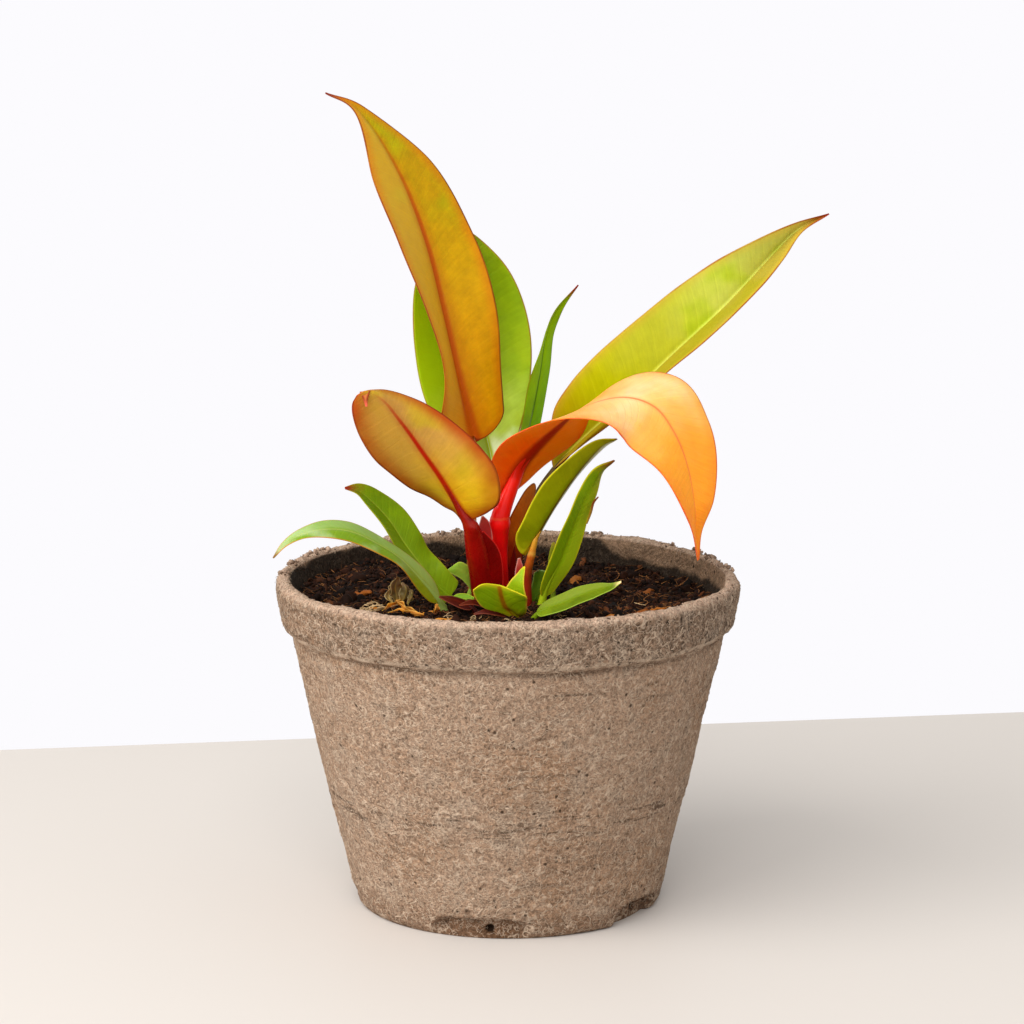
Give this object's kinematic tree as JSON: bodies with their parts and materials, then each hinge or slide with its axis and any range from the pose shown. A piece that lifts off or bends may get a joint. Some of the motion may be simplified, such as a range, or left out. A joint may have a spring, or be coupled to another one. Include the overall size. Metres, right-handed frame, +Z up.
{
  "type": "potted philodendron",
  "caption": "Young philodendron with orange, yellow and green leaves on red stalks, growing from soil in a tapered fibre pot with a thick collar.",
  "frame": {"origin": "centre of the pot's flat underside, on the surface it stands on", "axes": "+Z up along the pot's axis, -Y toward the viewer of the picture, +X to the viewer's right"},
  "size_m": [0.1434, 0.12, 0.2091],
  "materials": {
    "pot_fibre": "pressed paper fibre, rough and dry, darker where damp",
    "soil": "near-black potting soil with bark chips, crumbs and pale fibres",
    "leaf_golden": "waxy golden yellow blade with orange and green patches",
    "leaf_ochre": "waxy ochre underside with a brown-red edge and a red midrib",
    "leaf_orange": "glossy peach to orange blade with a pink midrib",
    "leaf_olive": "satin olive blade with a yellow edge",
    "leaf_lime": "satin yellow-green blade",
    "leaf_green": "satin leaf green blade, young leaves lighter",
    "leaf_brown": "rolled young leaf, brown satin",
    "scale_red": "dry red-brown scale leaf",
    "petiole_red": "glossy bright red stalk",
    "sheath_red": "glossy dark red sheath",
    "petiole_brown": "satin orange-brown stalk",
    "petiole_green": "satin green stalk"
  },
  "bodies": {
    "root": {"pot": "pot_fibre", "soil": "soil", "leaf_golden": "leaf_golden", "leaf_ochre": "leaf_ochre", "leaf_orange": "leaf_orange", "leaf_olive": "leaf_olive", "leaf_long": "leaf_lime", "leaf_back": "leaf_green", "leaf_narrow": "leaf_green", "leaf_arc": "leaf_green", "leaf_left_up": "leaf_green", "leaf_right_up": "leaf_green", "leaf_right_low": "leaf_green", "leaf_front": "leaf_green", "leaf_light_left": "leaf_green", "leaf_light_low": "leaf_green", "leaf_dark_back": "leaf_green", "leaf_yellow_back": "leaf_green", "leaf_curled": "leaf_brown", "scale_leaf_red": "scale_red", "stem_orange": "petiole_red", "stem_ochre": "sheath_red", "stem_golden": "petiole_brown", "stem_long": "petiole_brown", "stem_olive": "petiole_brown", "stem_back": "petiole_green", "stem_narrow": "petiole_green"}
  },
  "joints": []
}
